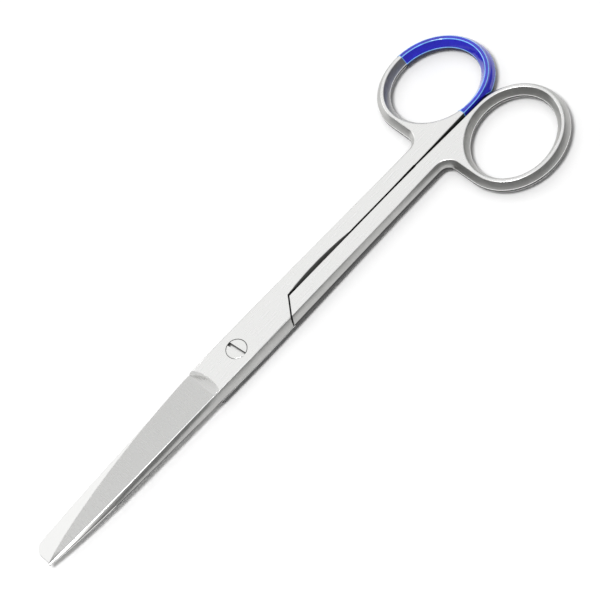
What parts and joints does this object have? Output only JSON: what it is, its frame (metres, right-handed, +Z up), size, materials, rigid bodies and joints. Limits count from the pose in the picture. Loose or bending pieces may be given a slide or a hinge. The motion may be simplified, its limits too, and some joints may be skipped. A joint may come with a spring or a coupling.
{
  "type": "operating scissors",
  "caption": "Straight operating scissors with one sharp and one blunt blade, a lapped screw joint, long shanks and finger rings, one ring coated blue.",
  "frame": {"origin": "on the rest plane, under the pivot screw's axis, at the screw's flush lower end", "axes": "+X from the screw to the finger rings, +Z up along the screw to its slotted head, +Y to the blue ring"},
  "size_m": [0.1656, 0.0529, 0.0052],
  "materials": {
    "front_steel": "satin",
    "rear_steel": "satin",
    "screw_steel": "satin",
    "ring_coat": "gloss"
  },
  "bodies": {
    "rear": {"rear_half": "rear_steel", "pivot_screw": "screw_steel"},
    "front": {"front_half": "front_steel", "blue_ring_coat": "ring_coat"}
  },
  "joints": [
    {"name": "pivot", "type": "hinge", "parent": "rear", "child": "front", "pos_m": [0, 0, 0], "axis": [0, 0, 1], "range_deg": [0, 70]}
  ]
}
